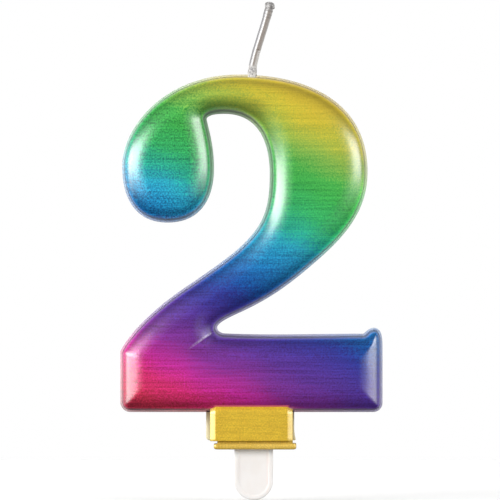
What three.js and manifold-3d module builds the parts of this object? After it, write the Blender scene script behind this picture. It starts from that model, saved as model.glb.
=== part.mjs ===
// A birthday candle in the shape of the numeral 2: paraffin poured into a shallow metallised film shell,
// with a gold block under the foot, a cotton wick that stands out of the top of the arch, and a flat
// plastic pick that goes into the cake.
//
// Millimetres. +Z is up, the numeral reads from -Y, and the origin is where the pick leaves the underside
// of the base cap, midway through the candle's thickness.

import * as THREE from 'three';
import { mergeVertices } from 'three/addons/utils/BufferGeometryUtils.js';
import Module from 'manifold-3d';

// Depths, measured along Y.
const BACK_Y = 5;                 // the flat open back, where the wax was poured
const WALL_TOP_Y = -2;            // where the side walls turn over into the pillowed front
const PILLOW_RISE = 3;            // how far the middle of a stroke stands in front of the walls
const PILLOW_REACH = 4.8;         // how far in from the walls the front goes on rising

// The film shell and the wax inside it.
const FILM = 0.3;                 // thickness of the metallised film
const GAP = 0.15;                 // clearance between neighbouring pieces
const FLANGE = 0.45;              // how far the film's back rim stands out from the walls
const DRAFT = 0.25;               // how far the side walls lean in over their depth
const BEVEL_STEPS = [0.35, 1, 2.3];  // rings of the pillowed front, in from the top of the walls
const CURVE_STEP = 2.6;           // length of the straight pieces that stand for the outline's curves
const LEAST_CURVE_STEPS = 4;
const SHORTEST_SIDE = 0.05;       // a side of a ring that would be shorter is dropped

// The block under the foot and the cap below it.
const BLOCK_LEFT = -9.6;
const BLOCK_RIGHT = 8.6;
const BLOCK_BOTTOM = 1.8;
const BLOCK_TOP = 12;             // inside the foot, where the block and the numeral are one pour
const BLOCK_FRONT_Y = -3.2;
const BLOCK_CHAMFER = 1.2;
const BLOCK_FLANGE_LEFT = 0.9;
const BLOCK_FLANGE_RIGHT = 0.35;
const CAP_LEFT = -8.9;
const CAP_RIGHT = 9.5;
const CAP_HEIGHT = 1.5;
const CAP_FRONT_Y = -3.6;
const CAP_CORNER = 0.8;

// The pick.
const PICK_WIDTH = 8.5;
const PICK_THICKNESS = 1.4;
const PICK_BOTTOM = -11.2;
const PICK_TOP = 18;
const PICK_HOLE_RADIUS = 1.6;     // wax runs through it and locks the pick in
const PICK_HOLE_Z = 13.5;

// The wick.
const CORE_RADIUS = 0.6;          // inside the wax
const WICK_RADIUS = 0.75;         // outside it, with its silver coat
const WICK_SIDES = 10;
const CORE_STEPS = 48;
const WICK_EXIT = new THREE.Vector3(-0.3, 0, 83.3);
const LEAN_PIVOT = new THREE.Vector3(-0.15, 0, 84.2);
const KINK_PIVOT = new THREE.Vector3(0.8, 0, 87.4);
const WICK_TIP = new THREE.Vector3(3.5, 0, 97.5);
const PIVOT_CLEARANCE = 0.2;
const COLLAR_TOP_RADIUS = 0.95;   // wax that crept up the wick as it set
const COLLAR_FOOT_RADIUS = 1.2;
const COLLAR_FOOT_Z = 80.5;
const COLLAR_TOP_Z = 82.9;
const CORE_ROUTE = [              // down the middle of the stroke, from the arch to the foot
  [-0.3, 81], [1.2, 78.6], [7, 75.8], [12.2, 69.8], [14.2, 61.5], [12.4, 53],
  [6, 44.2], [-4, 36.2], [-13, 28.4], [-17.5, 20],
];

const wasm = await Module();
wasm.setup();

// ---- solids ----

/** A closed geometry as a solid that can be cut and joined. */
function toSolid(geometry) {
  const bare = new THREE.BufferGeometry();
  bare.setAttribute('position', geometry.getAttribute('position'));
  bare.setIndex(geometry.index);
  const merged = mergeVertices(bare, 1e-4);
  return new wasm.Manifold(new wasm.Mesh({
    numProp: 3,
    vertProperties: merged.getAttribute('position').array,
    triVerts: new Uint32Array(merged.index.array),
  }));
}

/** A solid as a flat-shaded geometry. */
function toGeometry(solid) {
  const mesh = solid.getMesh();
  const positions = new Float32Array(mesh.vertProperties);
  const shared = new THREE.BufferGeometry();
  shared.setAttribute('position', new THREE.BufferAttribute(positions, mesh.numProp));
  shared.setIndex(new THREE.BufferAttribute(mesh.triVerts, 1));
  const geometry = shared.toNonIndexed();
  geometry.computeVertexNormals();
  return geometry;
}

/** Extrudes a shape drawn in X and Z between two depths. */
function extrudeAlongY(shape, frontY, backY) {
  const geometry = new THREE.ExtrudeGeometry(shape, {
    depth: backY - frontY,
    bevelEnabled: false,
    curveSegments: 12,
  });
  geometry.rotateX(Math.PI / 2);
  geometry.translate(0, backY, 0);
  return toSolid(geometry);
}

/** Extrudes a shape drawn in X and Y between two heights. */
function extrudeAlongZ(shape, bottom, top) {
  const geometry = new THREE.ExtrudeGeometry(shape, { depth: top - bottom, bevelEnabled: false });
  geometry.translate(0, 0, bottom);
  return toSolid(geometry);
}

/** A round tube through a list of points. */
function tubeThrough(points, radius) {
  const section = new THREE.Shape();
  section.absarc(0, 0, radius, 0, 2 * Math.PI);
  const outline = new THREE.Shape(section.getSpacedPoints(WICK_SIDES).slice(0, WICK_SIDES));
  return toSolid(new THREE.ExtrudeGeometry(outline, {
    steps: CORE_STEPS,
    extrudePath: new THREE.CatmullRomCurve3(points, false, 'centripetal'),
  }));
}

/** A lathed solid whose profile, radius by distance, starts at one point and runs towards another. */
function latheBetween(profile, from, to) {
  const geometry = new THREE.LatheGeometry(profile, WICK_SIDES);
  const along = to.clone().sub(from).normalize();
  geometry.applyQuaternion(new THREE.Quaternion().setFromUnitVectors(new THREE.Vector3(0, 1, 0), along));
  geometry.translate(from.x, from.y, from.z);
  return toSolid(geometry);
}

// ---- the numeral's outline ----

/** The walls' outline at the back, counterclockwise as it reads. */
function numeralOutline() {
  const outline = new THREE.Shape();
  outline.moveTo(-27.2, 8.5);
  outline.lineTo(26.4, 8.5);
  outline.bezierCurveTo(27.3, 8.5, 28, 9.2, 28, 10.1);           // foot, bottom right corner
  outline.lineTo(28, 22.6);
  outline.bezierCurveTo(28, 23.6, 28, 26.2, 26.6, 26.2);         // serif
  outline.bezierCurveTo(25.3, 26.2, 24.8, 24.9, 24.2, 24.9);
  outline.bezierCurveTo(14.2, 24.9, 3.5, 24.5, -6.5, 24.95);     // top of the foot
  outline.bezierCurveTo(-7.1, 25, -8.5, 25.5, -8.5, 26.7);       // root of the diagonal
  outline.bezierCurveTo(-8.5, 28.1, -5.4, 29.4, -3.5, 30.3);
  outline.bezierCurveTo(3.3, 33.4, 7.4, 36.3, 13.8, 41.9);       // diagonal, lower edge
  outline.bezierCurveTo(21.1, 48.2, 24.7, 53.7, 24.7, 61.1);     // bowl, outer edge
  outline.bezierCurveTo(24.7, 76.6, 11.1, 82.1, -3.3, 82.1);     // arch
  outline.bezierCurveTo(-19.3, 82.1, -28.6, 70.8, -28.6, 62.2);
  outline.bezierCurveTo(-28.6, 55.5, -25.9, 50.3, -19, 50.3);    // ball
  outline.bezierCurveTo(-11.6, 50.3, -9.2, 55.9, -9.2, 61.8);
  outline.bezierCurveTo(-9.2, 66.5, -10.1, 69.4, -10.8, 72.4);
  outline.bezierCurveTo(-11, 73.2, -10.3, 74.3, -6.5, 74.3);     // underside of the arch
  outline.bezierCurveTo(1.3, 74.3, 4, 67.9, 4, 60.6);            // bowl, inner edge
  outline.bezierCurveTo(4, 49.1, 0.9, 45.8, -14.3, 35.6);        // diagonal, upper edge
  outline.bezierCurveTo(-19.3, 32.3, -26, 26.9, -29, 21.4);
  outline.lineTo(-29, 10.3);
  outline.bezierCurveTo(-29, 9.3, -28.2, 8.5, -27.2, 8.5);       // foot, bottom left corner
  return outline;
}

/** The outline as a ring of points: both ends of each straight line, and even steps along each curve. */
function ringOf(outline) {
  return outline.curves.flatMap((curve) => {
    const steps = Math.max(LEAST_CURVE_STEPS, Math.ceil(curve.getLength() / CURVE_STEP));
    return curve.getSpacedPoints(curve.isLineCurve ? 1 : steps).slice(0, -1);
  });
}

/** Where two lines cross, each given by a point and a direction. */
function crossing(a, b) {
  const between = b.point.clone().sub(a.point);
  const reach = between.cross(b.along) / a.along.cross(b.along);
  return a.point.clone().addScaledVector(a.along, reach);
}

/**
 * A ring with each side moved inwards by a distance, or outwards by a negative one. A side that would
 * turn round, as in a corner tighter than the distance, is dropped, and its neighbours meet in a mitre.
 */
function insetRing(ring, distance) {
  let sides = ring.map((start, i) => {
    const along = ring[(i + 1) % ring.length].clone().sub(start).normalize();
    const inward = new THREE.Vector2(-along.y, along.x);
    return { along, point: start.clone().addScaledVector(inward, distance) };
  });
  for (;;) {
    const corners = sides.map((side, i) => crossing(sides.at(i - 1), side));
    const lengths = sides.map(({ along }, i) => {
      const end = corners[(i + 1) % corners.length];
      return end.clone().sub(corners[i]).dot(along);
    });
    const shortest = Math.min(...lengths);
    if (shortest > SHORTEST_SIDE) return corners;
    sides = sides.filter((_, i) => lengths[i] !== shortest);
  }
}

/** Triangles between two rings, one inside the other, whose points are numbered from two starts. */
function bandFaces(outer, outerStart, inner, innerStart) {
  const distances = inner.map((point) => point.distanceTo(outer[0]));
  const first = distances.indexOf(Math.min(...distances));
  const faces = [];
  let [i, j] = [0, 0];
  while (i < outer.length || j < inner.length) {
    const [a, nextA] = [i % outer.length, (i + 1) % outer.length];
    const [b, nextB] = [(first + j) % inner.length, (first + j + 1) % inner.length];
    const outerFirst = outer[nextA].distanceTo(inner[b]) < inner[nextB].distanceTo(outer[a]);
    if (j === inner.length || (i < outer.length && outerFirst)) {
      faces.push([outerStart + a, outerStart + nextA, innerStart + b]);
      i += 1;
    } else {
      faces.push([outerStart + a, innerStart + nextB, innerStart + b]);
      j += 1;
    }
  }
  return faces;
}

/** A closed solid from rings that lie one inside the next, each at its own depth, from back to front. */
function terraced(levels) {
  const rings = levels.map(({ ring }) => ring);
  const starts = rings.map((_, level) => rings.slice(0, level).reduce((sum, ring) => sum + ring.length, 0));
  const positions = levels.flatMap(({ ring, y }) => ring.flatMap((point) => [point.x, y, point.y]));
  const bands = rings.slice(1).flatMap((ring, i) => bandFaces(rings[i], starts[i], ring, starts[i + 1]));
  const back = THREE.ShapeUtils.triangulateShape([...rings[0]], []).map((face) => face.reverse());
  const front = THREE.ShapeUtils.triangulateShape([...rings.at(-1)], [])
    .map((face) => face.map((k) => starts.at(-1) + k));

  const geometry = new THREE.BufferGeometry();
  geometry.setAttribute('position', new THREE.Float32BufferAttribute(positions, 3));
  geometry.setIndex([...back, ...bands, ...front].flat());
  return toSolid(geometry);
}

// ---- the numeral's solids ----

const outlineRing = ringOf(numeralOutline());

/** How far the front stands in front of the walls, at a distance in from the top of the walls. */
function pillowHeight(distance) {
  const remaining = 1 - Math.min(distance / PILLOW_REACH, 1);
  return PILLOW_RISE * Math.sqrt(1 - remaining * remaining);
}

/** The numeral's walls and front, made smaller all round by a thickness, as levels from back to front. */
function numeralLevels(shrink, backY) {
  const level = (inset, y) => ({ ring: insetRing(outlineRing, inset + shrink), y });
  return [
    level(0, backY),
    level(DRAFT, WALL_TOP_Y),
    ...BEVEL_STEPS.map((step) => level(DRAFT + step, WALL_TOP_Y - pillowHeight(step) + shrink)),
  ];
}

/** The film's outside: the numeral with a thin rim round its back. */
function filmOutside(grow) {
  const rim = insetRing(outlineRing, -FLANGE - grow);
  const rimFront = BACK_Y - FILM - grow;
  const [back, ...front] = numeralLevels(-grow, rimFront);
  return terraced([{ ring: rim, y: BACK_Y + grow }, { ring: rim, y: rimFront }, back, ...front]);
}

// ---- the block's solids ----

/** The block's plan: straight sides and chamfered front corners, made smaller all round by a thickness. */
function blockPlan(shrink, backY) {
  const left = BLOCK_LEFT + shrink;
  const right = BLOCK_RIGHT - shrink;
  const front = BLOCK_FRONT_Y + shrink;
  const chamfer = BLOCK_CHAMFER - shrink / 2;
  const plan = new THREE.Shape();
  plan.moveTo(left, backY);
  plan.lineTo(left, front + chamfer);
  plan.lineTo(left + chamfer, front);
  plan.lineTo(right - chamfer, front);
  plan.lineTo(right, front + chamfer);
  plan.lineTo(right, backY);
  return plan;
}

/** A rectangle from one corner to the other. */
function rectangle(left, low, right, high) {
  const shape = new THREE.Shape();
  shape.moveTo(left, low);
  shape.lineTo(right, low);
  shape.lineTo(right, high);
  shape.lineTo(left, high);
  return shape;
}

/** The way through the films that the wax of the block fills. */
const blockPassage = extrudeAlongZ(blockPlan(FILM, BACK_Y + 1), BLOCK_BOTTOM - 1, BLOCK_TOP);

// ---- the pick ----

/** The pick's outline: a strip with a round end, made larger all round by a clearance. */
function pickOutline(clearance, top) {
  const halfWidth = PICK_WIDTH / 2 + clearance;
  const roundCentre = PICK_BOTTOM + PICK_WIDTH / 2;
  const outline = new THREE.Shape();
  outline.moveTo(halfWidth, top);
  outline.lineTo(-halfWidth, top);
  outline.absarc(0, roundCentre, halfWidth, Math.PI, 2 * Math.PI);
  const hole = new THREE.Path();
  hole.absarc(0, PICK_HOLE_Z, PICK_HOLE_RADIUS - clearance, 0, 2 * Math.PI, true);
  outline.holes.push(hole);
  return outline;
}

const pick = extrudeAlongY(pickOutline(0, PICK_TOP), -PICK_THICKNESS / 2, PICK_THICKNESS / 2);
const pickSlot = extrudeAlongY(
  pickOutline(GAP, PICK_TOP + GAP), -PICK_THICKNESS / 2 - GAP, PICK_THICKNESS / 2 + GAP,
);

// ---- the wick ----

const coreRoute = [WICK_EXIT, ...CORE_ROUTE.map(([x, z]) => new THREE.Vector3(x, 0, z))];

/** The channel that the core fills, made a clearance wider and opening above the wax. */
function wickChannel() {
  const above = WICK_EXIT.clone().add(new THREE.Vector3(0, 0, 1));
  return tubeThrough([above, ...coreRoute], CORE_RADIUS + GAP);
}

/** A cone frustum standing on Z, round the wick's exit. */
function collar(topRadius, footRadius, footZ, topZ) {
  const geometry = new THREE.CylinderGeometry(topRadius, footRadius, topZ - footZ, 2 * WICK_SIDES);
  geometry.rotateX(Math.PI / 2);
  geometry.translate(WICK_EXIT.x, WICK_EXIT.y, (topZ + footZ) / 2);
  return toSolid(geometry);
}

/** The quarter circle that rounds the lower end of a wick stretch, from the axis outwards. */
function roundFoot() {
  const steps = 4;
  return Array.from({ length: steps + 1 }, (_, k) => {
    const angle = (k / steps) * (Math.PI / 2);
    return new THREE.Vector2(k === 0 ? 0 : WICK_RADIUS * Math.sin(angle), -WICK_RADIUS * Math.cos(angle));
  });
}

/** The stretch from the lean pivot to just short of the kink. */
function wickLower() {
  const top = LEAN_PIVOT.distanceTo(KINK_PIVOT) - WICK_RADIUS - PIVOT_CLEARANCE;
  const profile = [...roundFoot(), new THREE.Vector2(WICK_RADIUS, top), new THREE.Vector2(0, top)];
  return latheBetween(profile, LEAN_PIVOT, KINK_PIVOT);
}

/** The stretch above the kink, with the bead of wax at its tip. */
function wickUpper() {
  const length = KINK_PIVOT.distanceTo(WICK_TIP);
  const bead = [[WICK_RADIUS, -1.4], [0.95, -0.8], [1.1, -0.1], [0.95, 0.5], [0.5, 0.9], [0, 1]];
  const profile = [...roundFoot(), ...bead.map(([radius, up]) => new THREE.Vector2(radius, length + up))];
  return latheBetween(profile, KINK_PIVOT, WICK_TIP);
}

// ---- the pieces ----

/** The rainbow film: a thin shell over the numeral's front and walls, open at the back. */
function rainbowFilm() {
  const inside = terraced(numeralLevels(FILM, BACK_Y + 1));
  const wickHole = collar(COLLAR_FOOT_RADIUS + GAP, COLLAR_FOOT_RADIUS + GAP, COLLAR_FOOT_Z, COLLAR_TOP_Z);
  return filmOutside(0).subtract(inside).subtract(blockPassage).subtract(wickHole);
}

/** The gold film: the front and sides of the block, with a rim at the back, up to the rainbow film. */
function goldFilm() {
  const skin = extrudeAlongZ(blockPlan(0, BACK_Y), BLOCK_BOTTOM, BLOCK_TOP);
  const rim = extrudeAlongZ(
    rectangle(BLOCK_LEFT - BLOCK_FLANGE_LEFT, BACK_Y - FILM, BLOCK_RIGHT + BLOCK_FLANGE_RIGHT, BACK_Y),
    BLOCK_BOTTOM, BLOCK_TOP,
  );
  return skin.add(rim).subtract(blockPassage).subtract(filmOutside(GAP));
}

/** The wax: numeral and block in one pour, with the pick's slot and the wick's channel. */
function waxBody() {
  const numeral = terraced(numeralLevels(FILM + GAP, BACK_Y));
  const block = extrudeAlongZ(blockPlan(FILM + GAP, BACK_Y), BLOCK_BOTTOM, BLOCK_TOP);
  const creep = collar(COLLAR_TOP_RADIUS, COLLAR_FOOT_RADIUS, COLLAR_FOOT_Z, COLLAR_TOP_Z);
  return numeral.add(block).add(creep).subtract(pickSlot).subtract(wickChannel());
}

/** The cap under the block, a plate with rounded lower corners that the pick passes through. */
function baseCap() {
  const plate = new THREE.Shape();
  plate.moveTo(CAP_LEFT, CAP_HEIGHT);
  plate.lineTo(CAP_LEFT, CAP_CORNER);
  plate.quadraticCurveTo(CAP_LEFT, 0, CAP_LEFT + CAP_CORNER, 0);
  plate.lineTo(CAP_RIGHT - CAP_CORNER, 0);
  plate.quadraticCurveTo(CAP_RIGHT, 0, CAP_RIGHT, CAP_CORNER);
  plate.lineTo(CAP_RIGHT, CAP_HEIGHT);
  return extrudeAlongY(plate, CAP_FRONT_Y, BACK_Y).subtract(pickSlot);
}

const LOOKS = {
  rainbow: { color: 0x35a86a, roughness: 0.32, metalness: 0.85 },
  gold: { color: 0xd6b13b, roughness: 0.35, metalness: 0.85 },
  paraffin: { color: 0xf1ece2, roughness: 0.55, metalness: 0 },
  clearWhite: { color: 0xf1ede9, roughness: 0.4, metalness: 0 },
  cotton: { color: 0xe6e0d2, roughness: 0.9, metalness: 0 },
  silver: { color: 0xb9b9bc, roughness: 0.35, metalness: 0.6 },
};

const candle = new THREE.Group();
candle.name = 'number_candle';

/** Adds one named piece to the candle. */
function addPiece(name, solid, look) {
  const piece = new THREE.Mesh(toGeometry(solid), new THREE.MeshStandardMaterial(look));
  piece.name = name;
  candle.add(piece);
}

addPiece('rainbow_film', rainbowFilm(), LOOKS.rainbow);
addPiece('gold_film', goldFilm(), LOOKS.gold);
addPiece('wax_body', waxBody(), LOOKS.paraffin);
addPiece('base_cap', baseCap(), LOOKS.gold);
addPiece('cake_pick', pick, LOOKS.clearWhite);
addPiece('wick_core', tubeThrough(coreRoute, CORE_RADIUS), LOOKS.cotton);
addPiece('wick_lower', wickLower(), LOOKS.silver);
addPiece('wick_upper', wickUpper(), LOOKS.silver);

export default candle;
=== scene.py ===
# A rainbow metallic number candle: the looks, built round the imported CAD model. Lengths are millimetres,
# and mesh_object() turns them into metres. The frame is part.mjs's: +Z is up, the numeral reads from -Y,
# and the origin is where the pick leaves the base cap.
import math

import bpy
import numpy as np
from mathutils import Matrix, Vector, noise
from mathutils.geometry import delaunay_2d_cdt
from mathutils.kdtree import KDTree


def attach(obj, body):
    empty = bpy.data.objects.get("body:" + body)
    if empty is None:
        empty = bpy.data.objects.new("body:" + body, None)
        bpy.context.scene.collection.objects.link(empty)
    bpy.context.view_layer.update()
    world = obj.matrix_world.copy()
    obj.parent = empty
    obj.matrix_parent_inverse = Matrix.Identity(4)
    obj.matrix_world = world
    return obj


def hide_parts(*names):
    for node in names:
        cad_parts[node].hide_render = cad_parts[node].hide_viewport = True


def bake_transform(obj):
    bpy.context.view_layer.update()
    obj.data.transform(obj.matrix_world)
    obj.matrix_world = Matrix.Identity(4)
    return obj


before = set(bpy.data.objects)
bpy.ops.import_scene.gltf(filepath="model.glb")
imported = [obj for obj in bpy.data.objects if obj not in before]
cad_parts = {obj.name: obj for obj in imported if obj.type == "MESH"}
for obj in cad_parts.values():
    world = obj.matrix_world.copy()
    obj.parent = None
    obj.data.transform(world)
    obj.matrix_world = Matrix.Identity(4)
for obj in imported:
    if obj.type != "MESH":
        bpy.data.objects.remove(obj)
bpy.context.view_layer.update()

MM = 0.001

# ---- sizes, as in part.mjs ----
BACK_Y = 5
WALL_TOP_Y = -2
PILLOW_RISE = 3
PILLOW_REACH = 4.8
FILM = 0.3
FLANGE = 0.45
DRAFT = 0.25
BLOCK_LEFT = -9.6
BLOCK_RIGHT = 8.6
BLOCK_BOTTOM = 1.8
BLOCK_FRONT_Y = -3.2
BLOCK_CHAMFER = 1.2
BLOCK_FLANGE_LEFT = 0.9
BLOCK_FLANGE_RIGHT = 0.35
CAP_LEFT = -8.9
CAP_RIGHT = 9.5
CAP_FRONT_Y = -3.6
PICK_WIDTH = 8.5
PICK_THICKNESS = 1.4
PICK_BOTTOM = -11.2
PICK_TOP = 18

# ---- sizes that only this model has ----
FOOT_Z = 8.5                     # the foot's underside, at the back
BEVEL_RISE = 0.75                # the part of the front's rise that is a flat slope, up to a crease
BLOCK_CHAMFER_DEPTH = 0.7
WICK_RADIUS = 0.86               # with its creased coat, so more than the plain wick's
TOUCHING = 1e-6                  # places closer than this are the same place

# The walls' outline at the back, counterclockwise as it reads: straight lines and Bezier curves, each
# from where the last one ends. The bottom line is split where the block's wax joins the numeral's.
OUTLINE_START = (-27.2, FOOT_Z)
OUTLINE = [
    [(BLOCK_LEFT + FILM, FOOT_Z)],
    [(BLOCK_RIGHT - FILM, FOOT_Z)],
    [(26.4, FOOT_Z)],
    [(27.3, 8.5), (28, 9.2), (28, 10.1)],
    [(28, 22.6)],
    [(28, 23.6), (28, 26.2), (26.6, 26.2)],
    [(25.3, 26.2), (24.8, 24.9), (24.2, 24.9)],
    [(14.2, 24.9), (3.5, 24.5), (-6.5, 24.95)],
    [(-7.1, 25), (-8.5, 25.5), (-8.5, 26.7)],
    [(-8.5, 28.1), (-5.4, 29.4), (-3.5, 30.3)],
    [(3.3, 33.4), (7.4, 36.3), (13.8, 41.9)],
    [(21.1, 48.2), (24.7, 53.7), (24.7, 61.1)],
    [(24.7, 76.6), (11.1, 82.1), (-3.3, 82.1)],
    [(-19.3, 82.1), (-28.6, 70.8), (-28.6, 62.2)],
    [(-28.6, 55.5), (-25.9, 50.3), (-19, 50.3)],
    [(-11.6, 50.3), (-9.2, 55.9), (-9.2, 61.8)],
    [(-9.2, 66.5), (-10.1, 69.4), (-10.8, 72.4)],
    [(-11, 73.2), (-10.3, 74.3), (-6.5, 74.3)],
    [(1.3, 74.3), (4, 67.9), (4, 60.6)],
    [(4, 49.1), (0.9, 45.8), (-14.3, 35.6)],
    [(-19.3, 32.3), (-26, 26.9), (-29, 21.4)],
    [(-29, 10.3)],
    [(-29, 9.3), (-28.2, 8.5), OUTLINE_START],
]


# ---- small helpers ----

def smoothstep(low, high, value):
    """0 below low, 1 above high, and smooth between them."""
    t = np.clip((value - low) / (high - low), 0, 1)
    return t * t * (3 - 2 * t)


def mesh_object(name, points, faces, smooth=True):
    """An object from points in millimetres."""
    mesh = bpy.data.meshes.new(name)
    mesh.from_pydata([tuple(MM * c for c in p) for p in points], [], [tuple(f) for f in faces])
    mesh.validate()
    mesh.polygons.foreach_set("use_smooth", [smooth] * len(mesh.polygons))
    made = bpy.data.objects.new(name, mesh)
    bpy.context.scene.collection.objects.link(made)
    return made


def thicken(film):
    """Gives a film its thickness, inwards from its surface."""
    thick = film.modifiers.new("film", "SOLIDIFY")
    thick.thickness = FILM * MM
    thick.offset = -1
    graph = bpy.context.evaluated_depsgraph_get()
    final = bpy.data.meshes.new_from_object(film.evaluated_get(graph))
    film.modifiers.clear()
    film.data = final


def tube(rings, count, reverse=False):
    """The faces of a tube and its two ends, for rings of count points that lie one after another."""
    ends = [tuple(range(count))[::-1], tuple(range((rings - 1) * count, rings * count))]
    faces = [end[::-1] for end in ends] if reverse else ends
    for k in range(rings - 1):
        for i in range(count):
            j = (i + 1) % count
            a, b, c, d = k * count + i, k * count + j, (k + 1) * count + j, (k + 1) * count + i
            faces.append((a, d, c, b) if reverse else (a, b, c, d))
    return faces


def planar_uv(piece, across, along):
    """A UV map laid out by two functions of a vertex's place, in millimetres."""
    layer = piece.data.uv_layers.new(name="UVMap")
    for loop in piece.data.loops:
        place = piece.data.vertices[loop.vertex_index].co / MM
        layer.data[loop.index].uv = (across(place), along(place))


def finish_piece(piece, body, material, node):
    """Gives a rigid piece its material, its body and the CAD node it stands for."""
    piece.data.materials.append(material)
    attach(piece, body)
    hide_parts(node)


# ---- the outline and the distance from it ----

def bezier(ends, t):
    """Points on a Bezier curve or a line, given its two or four points."""
    t = t[:, None]
    if len(ends) == 2:
        return ends[0] * (1 - t) + ends[1] * t
    a, b, c, d = ends
    return a * (1 - t) ** 3 + 3 * b * t * (1 - t) ** 2 + 3 * c * t * t * (1 - t) + d * t ** 3


LEAST_STEPS = 6                  # on each piece of an outline
TRACED_STEPS = 400               # for measuring along a piece


def evenly(path, steps):
    """Points an even way apart along a path of X and Z, with its first and its last."""
    run = np.concatenate([[0], np.cumsum(np.linalg.norm(np.diff(path, axis=0), axis=1))])
    at = np.linspace(0, run[-1], steps(run[-1]))
    return np.stack([np.interp(at, run, path[:, 0]), np.interp(at, run, path[:, 1])], 1)


def sample(start, pieces, spacing):
    """A ring of points, evenly spaced along each piece."""
    last = np.array(start, float)
    ring = []
    for piece in pieces:
        ends = [last] + [np.array(p, float) for p in piece]
        traced = bezier(ends, np.linspace(0, 1, TRACED_STEPS))
        ring.append(evenly(traced, lambda length: max(LEAST_STEPS, math.ceil(length / spacing)) + 1)[:-1])
        last = ends[-1]
    return np.concatenate(ring)


def inward(ring):
    """The unit normals of a counterclockwise ring, pointing into it."""
    along = np.roll(ring, -1, 0) - np.roll(ring, 1, 0)
    along /= np.linalg.norm(along, axis=1)[:, None]
    return np.stack([-along[:, 1], along[:, 0]], 1)


def tree_of(points):
    """A search tree of points in a plane."""
    tree = KDTree(len(points))
    for i, (x, z) in enumerate(points):
        tree.insert((x, z, 0), i)
    tree.balance()
    return tree


def distance(tree, x, z):
    """How far a point is from the nearest point of a tree."""
    return tree.find((x, z, 0))[2]


def inside(points, ring):
    """Which points lie inside a ring."""
    found = np.zeros(len(points), bool)
    ends = np.roll(ring, -1, 0)
    for (ax, az), (bx, bz) in zip(ring, ends):
        if az == bz:
            continue
        crosses = (az > points[:, 1]) != (bz > points[:, 1])
        at = ax + (points[:, 1] - az) * (bx - ax) / (bz - az)
        found ^= crosses & (points[:, 0] < at)
    return found


DEPTH_SLACK = 0.012              # a row's point may be this much less deep than the row
CORNER_TURN = 0.2                # the sine of the least turn that makes a corner
CORNER_REACH = 1.5               # how far a corner may be from the last point before it
CORNER_SLACK = 0.05


def level_points(ring, tree, depth, spacing):
    """Points at a depth inside a ring, and the corners where two stretches of that depth meet."""
    normals = inward(ring)
    moved = ring + normals * depth
    kept = []
    broken = False
    for point, normal in zip(moved, normals):
        if distance(tree, *point) < depth - DEPTH_SLACK:
            broken = True
            continue
        if broken and kept:
            before, normal_before = kept[-1]
            turn = normal_before[0] * normal[1] - normal_before[1] * normal[0]
            if abs(turn) > CORNER_TURN:
                gap = point - before
                reach = (gap[0] * normal[0] + gap[1] * normal[1]) / turn
                corner = before + reach * np.array([normal_before[1], -normal_before[0]]) * -1
                off = abs(distance(tree, *corner) - depth)
                if np.linalg.norm(corner - before) < CORNER_REACH and off < CORNER_SLACK:
                    kept.append((corner, normal))
        broken = False
        if not kept or np.linalg.norm(point - kept[-1][0]) > spacing:
            kept.append((point, normal))
    return [point for point, _ in kept]


def triangulate(ring, extra):
    """Triangles that fill a ring, with more points inside it. The ring's points come first, in order."""
    points = [Vector(p) for p in ring] + [Vector(p) for p in extra]
    edges = [(i, (i + 1) % len(ring)) for i in range(len(ring))]
    found, _, faces, origins, _, _ = delaunay_2d_cdt(points, edges, [list(range(len(ring)))], 1, 1e-6, True)
    place = {}
    for new, olds in enumerate(origins):
        for old in olds:
            if old < len(ring):
                place[old] = new
    order = [place[i] for i in range(len(ring))]
    rest = [i for i in range(len(found)) if i not in set(order)]
    renumber = {old: new for new, old in enumerate(order + rest)}
    flat = np.array([found[i] for i in order + rest])
    faces = np.array([[renumber[i] for i in face] for face in faces])
    within = inside(flat[faces].mean(1), ring)
    return flat, [tuple(int(i) for i in face) for face in faces[within]]


ROW_HEIGHT = 0.866               # between the rows of an even grid of triangles, for a side of 1
GRID_ROOM = 0.62                 # how near a grid point may come to a row, for a side of 1
LEAST_GAP = 0.15                 # between a row and the further points


def fill_points(ring, tree, depths, spacing, grid, edge, more=()):
    """Points inside a ring: rows at the given depths, and an even grid wherever they leave room."""
    rows = [p for depth in depths for p in level_points(ring, tree, depth, spacing)]
    if more:
        near = tree_of(rows)
        rows += [p for p in more if distance(near, *p) > LEAST_GAP]
    low, high = ring.min(0), ring.max(0)
    lattice = []
    for j in range(int((high[1] - low[1]) / (grid * ROW_HEIGHT)) + 1):
        for i in range(int((high[0] - low[0]) / grid) + 1):
            lattice.append((low[0] + grid * (i + 0.5 * (j % 2)), low[1] + grid * ROW_HEIGHT * j))
    lattice = np.array(lattice)
    lattice = lattice[inside(lattice, ring)]
    near = tree_of(rows)
    room = grid * GRID_ROOM
    return rows + [p for p in lattice if distance(tree, *p) > edge and distance(near, *p) > room]


wall_ring = sample(OUTLINE_START, OUTLINE, spacing=0.3)
wall_tree = tree_of(sample(OUTLINE_START, OUTLINE, spacing=0.04))
wall_inward = inward(wall_ring)


# ---- the rainbow film ----

def pillow(depth):
    """How far the front stands in front of the walls, at a depth in from their top."""
    share = min(max(depth, 0) / PILLOW_REACH, 1)
    return (PILLOW_RISE - BEVEL_RISE) * math.sqrt(share * (2 - share)) + BEVEL_RISE * share


# Places to average over: the middle, five halfway out and eight on the circle of radius 1.
KERNEL = [(0, 0)] + [
    (r * math.cos(a), r * math.sin(a)) for r, n in ((0.5, 5), (1, 8)) for a in np.arange(n) * 2 * math.pi / n
]
KERNEL_RADIUS = 0.42

ROOT = (-8.3, 26.2)              # where the diagonal leaves the foot
ROOT_RUN = (-0.82, -0.572)       # the crease in the film runs on from there
ROOT_LENGTH = 7.5
ROOT_DEPTH = 0.14


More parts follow.
